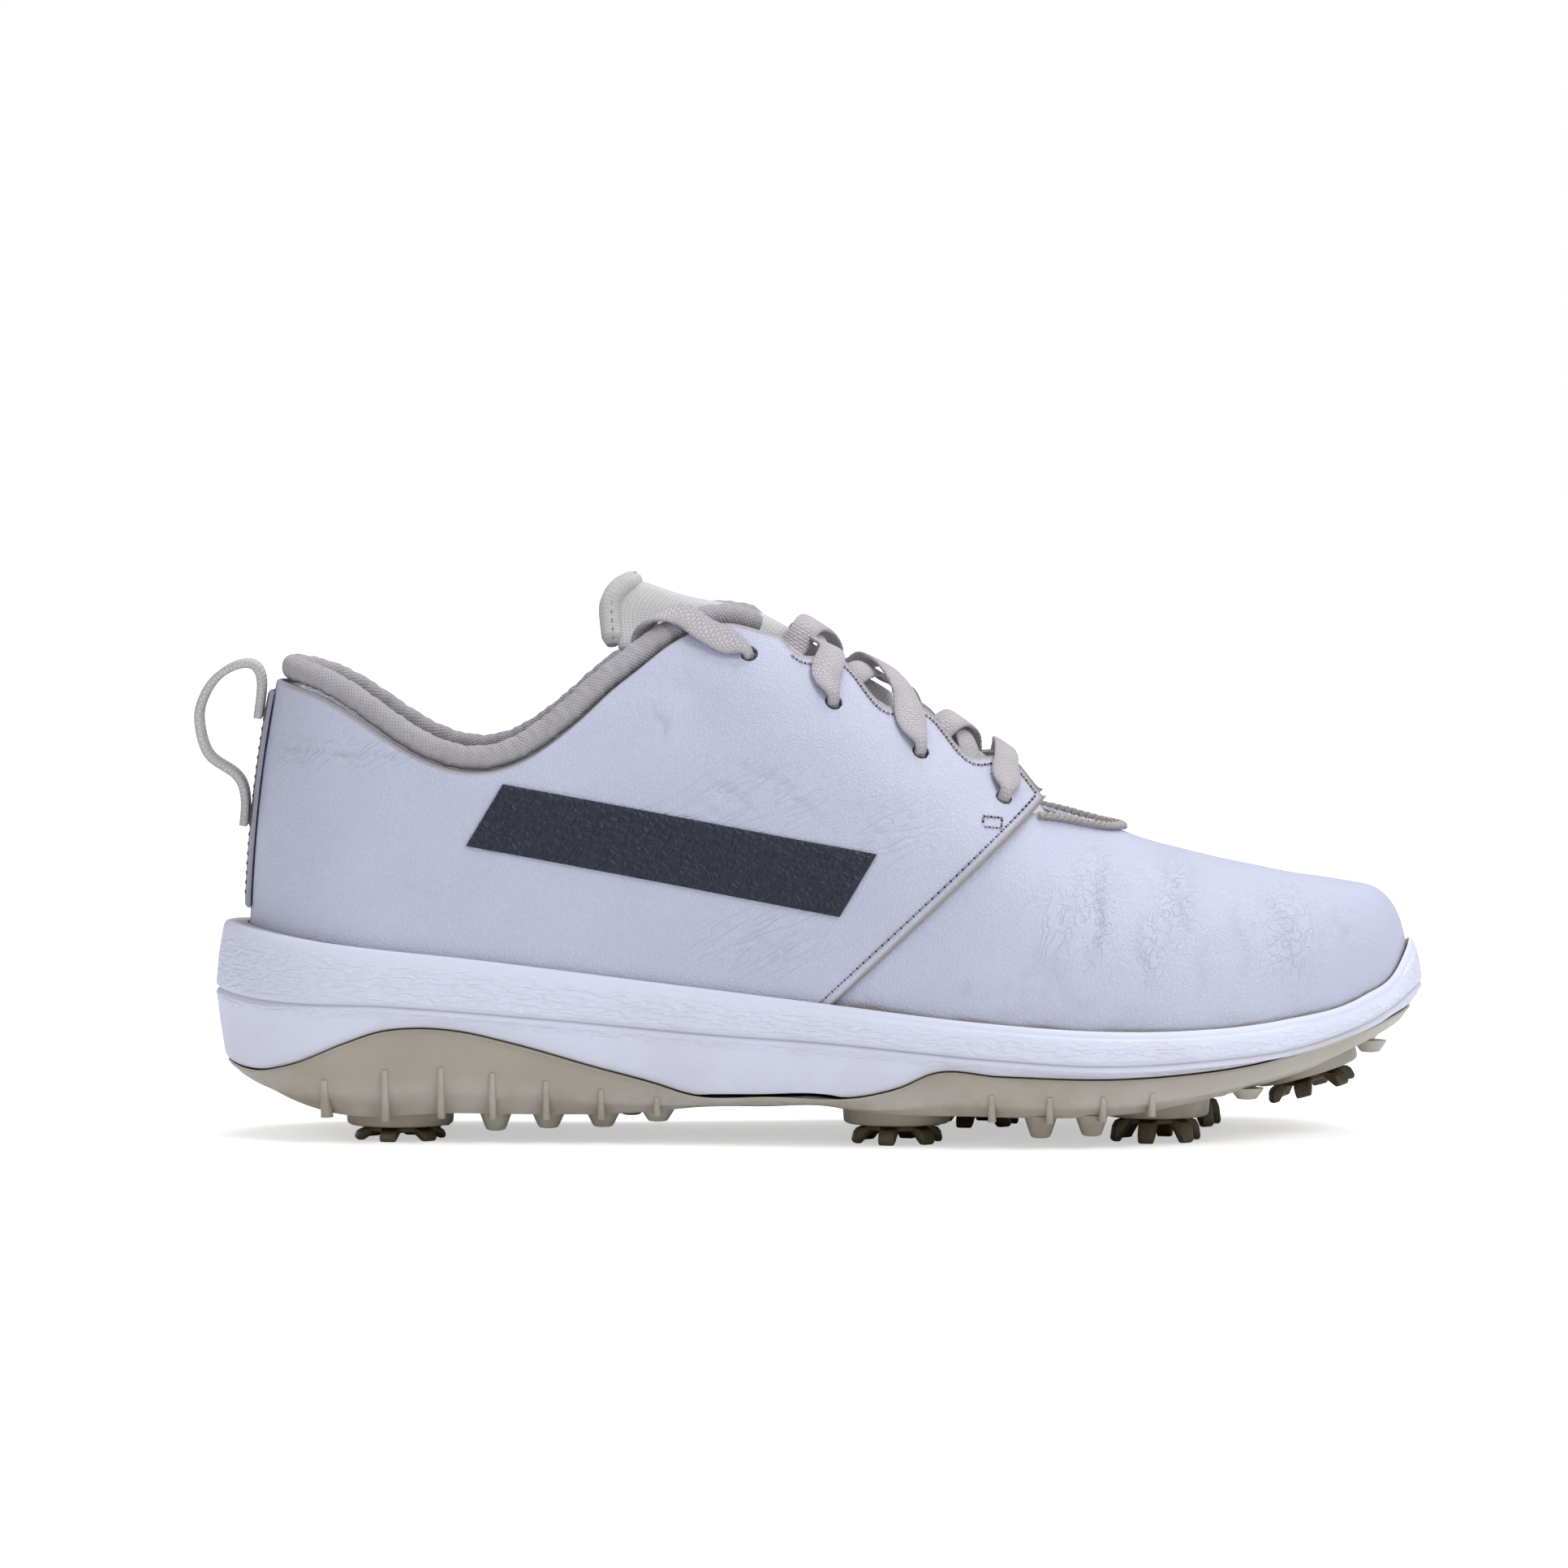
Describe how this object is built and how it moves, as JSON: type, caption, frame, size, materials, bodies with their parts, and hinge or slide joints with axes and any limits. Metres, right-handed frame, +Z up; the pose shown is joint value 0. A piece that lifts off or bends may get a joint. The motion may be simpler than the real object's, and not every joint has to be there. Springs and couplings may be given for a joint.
{
  "type": "golf shoe",
  "caption": "Low laced golf shoe for the right foot: leather upper, padded collar, heel pull loop, cushioned midsole and a lugged outsole with twist-in soft cleats.",
  "frame": {"origin": "on the ground under the middle of the shoe's length and width, where the cleats' tips stand", "axes": "+X from heel to toe, +Y towards the inner side of the right foot, +Z up"},
  "size_m": [0.3062, 0.1084, 0.1402],
  "materials": {
    "upper_leather": "satin",
    "eyestay_leather": "satin",
    "backstay_leather": "satin",
    "midsole_foam": "matte",
    "outsole_rubber": "satin",
    "cleat_plastic": "satin",
    "receptacle_plastic": "matte",
    "insole_board": "matte",
    "sockliner_fabric": "matte",
    "lining_fabric": "matte",
    "stiffener": "matte",
    "collar_foam": "matte",
    "collar_fabric": "matte",
    "tongue_fabric": "matte",
    "lace_fabric": "matte",
    "webbing": "matte",
    "side_mark": "satin"
  },
  "bodies": {
    "shoe": {"outsole": "outsole_rubber", "midsole": "midsole_foam", "receptacle_heel_outer": "receptacle_plastic", "receptacle_heel_inner": "receptacle_plastic", "receptacle_ball_outer": "receptacle_plastic", "receptacle_ball_inner": "receptacle_plastic", "receptacle_fore_outer": "receptacle_plastic", "receptacle_fore_inner": "receptacle_plastic", "receptacle_toe": "receptacle_plastic", "insole_board": "insole_board", "vamp": "upper_leather", "vamp_lining": "lining_fabric", "toe_puff": "stiffener", "quarter_outer": "upper_leather", "quarter_inner": "upper_leather", "eyestay_outer": "eyestay_leather", "eyestay_inner": "eyestay_leather", "quarter_lining": "lining_fabric", "collar_foam": "collar_foam", "heel_counter": "stiffener", "collar_binding": "collar_fabric", "backstay": "backstay_leather", "heel_pull_loop": "webbing", "throat_cord": "webbing", "lace": "lace_fabric", "side_mark_outer": "side_mark", "side_mark_inner": "side_mark"},
    "tongue_flap": {"tongue": "tongue_fabric", "tongue_binding": "collar_fabric"},
    "insole": {"sockliner": "sockliner_fabric"},
    "cleat_1": {"cleat_heel_outer": "cleat_plastic"},
    "cleat_2": {"cleat_heel_inner": "cleat_plastic"},
    "cleat_3": {"cleat_ball_outer": "cleat_plastic"},
    "cleat_4": {"cleat_ball_inner": "cleat_plastic"},
    "cleat_5": {"cleat_fore_outer": "cleat_plastic"},
    "cleat_6": {"cleat_fore_inner": "cleat_plastic"},
    "cleat_7": {"cleat_toe": "cleat_plastic"}
  },
  "joints": [
    {"name": "tongue_hinge", "type": "hinge", "parent": "shoe", "child": "tongue_flap", "pos_m": [0.0822, 0, 0.066], "axis": [0, -1, 0], "range_deg": [0, 12]},
    {"name": "insole_lift", "type": "slide", "parent": "shoe", "child": "insole", "axis": [0, 0, 1], "range_m": [0, 0.006]},
    {"name": "cleat_1_turn", "type": "hinge", "parent": "shoe", "child": "cleat_1", "pos_m": [-0.1018, -0.0156, 0.00374], "axis": [0, 0, -1], "range_deg": [0, 90]},
    {"name": "cleat_2_turn", "type": "hinge", "parent": "shoe", "child": "cleat_2", "pos_m": [-0.1018, 0.0184, 0.00374], "axis": [0, 0, -1], "range_deg": [0, 90]},
    {"name": "cleat_3_turn", "type": "hinge", "parent": "shoe", "child": "cleat_3", "pos_m": [0.0212, -0.0251, 0.00488], "axis": [0, 0, -1], "range_deg": [0, 90]},
    {"name": "cleat_4_turn", "type": "hinge", "parent": "shoe", "child": "cleat_4", "pos_m": [0.0412, 0.0229, 0.0048], "axis": [0, 0, -1], "range_deg": [0, 90]},
    {"name": "cleat_5_turn", "type": "hinge", "parent": "shoe", "child": "cleat_5", "pos_m": [0.0852, -0.0201, 0.00625], "axis": [0, 0, -1], "range_deg": [0, 90]},
    {"name": "cleat_6_turn", "type": "hinge", "parent": "shoe", "child": "cleat_6", "pos_m": [0.0922, 0.0234, 0.00745], "axis": [0, 0, -1], "range_deg": [0, 90]},
    {"name": "cleat_7_turn", "type": "hinge", "parent": "shoe", "child": "cleat_7", "pos_m": [0.1242, 0.0059, 0.0146], "axis": [0.2805, 0, -0.9599], "range_deg": [0, 90]}
  ]
}
